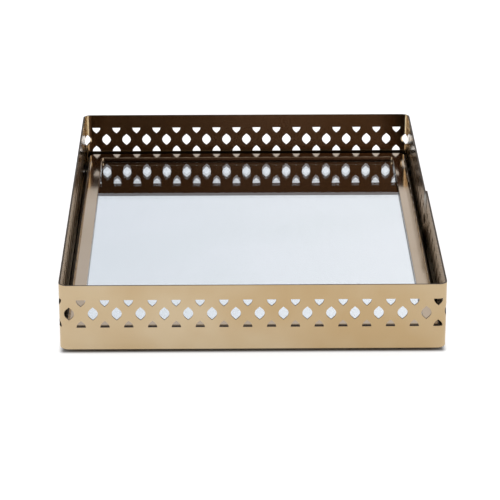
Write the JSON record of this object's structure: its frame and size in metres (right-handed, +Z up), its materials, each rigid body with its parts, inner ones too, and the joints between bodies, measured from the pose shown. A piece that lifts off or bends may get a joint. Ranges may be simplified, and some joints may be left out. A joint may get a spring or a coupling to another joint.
{
  "type": "vanity tray",
  "caption": "Rectangular dresser tray with a pierced metal gallery, a framed mirror base and low pad feet.",
  "frame": {"origin": "on the floor under the middle of the tray, at the bottom centre of its bounding box", "axes": "+Z up, +Y from the front wall to the back wall along the longer side, +X to the right along the shorter side"},
  "size_m": [0.256, 0.344, 0.0482],
  "materials": {
    "gallery_metal": "satin pale gold plating on mild steel strip",
    "bezel_metal": "half-bright pale gold plating on pressed steel",
    "mirror_glass": "clear float glass with ground edges",
    "mirror_backing": "silvering and its protective paint",
    "base_board": "medium-density fibreboard, raw",
    "felt": "black needled felt",
    "foot_rubber": "matt black rubber",
    "screw_metal": "bright zinc plating"
  },
  "bodies": {
    "root": {"gallery_band": "gallery_metal", "bezel_frame": "bezel_metal", "mirror_glass": "mirror_glass", "mirror_backing": "mirror_backing", "base_board": "base_board", "felt_underlay": "felt", "foot_front_left": "foot_rubber", "foot_front_right": "foot_rubber", "foot_back_left": "foot_rubber", "foot_back_right": "foot_rubber", "flange_screws": "screw_metal"}
  },
  "joints": []
}
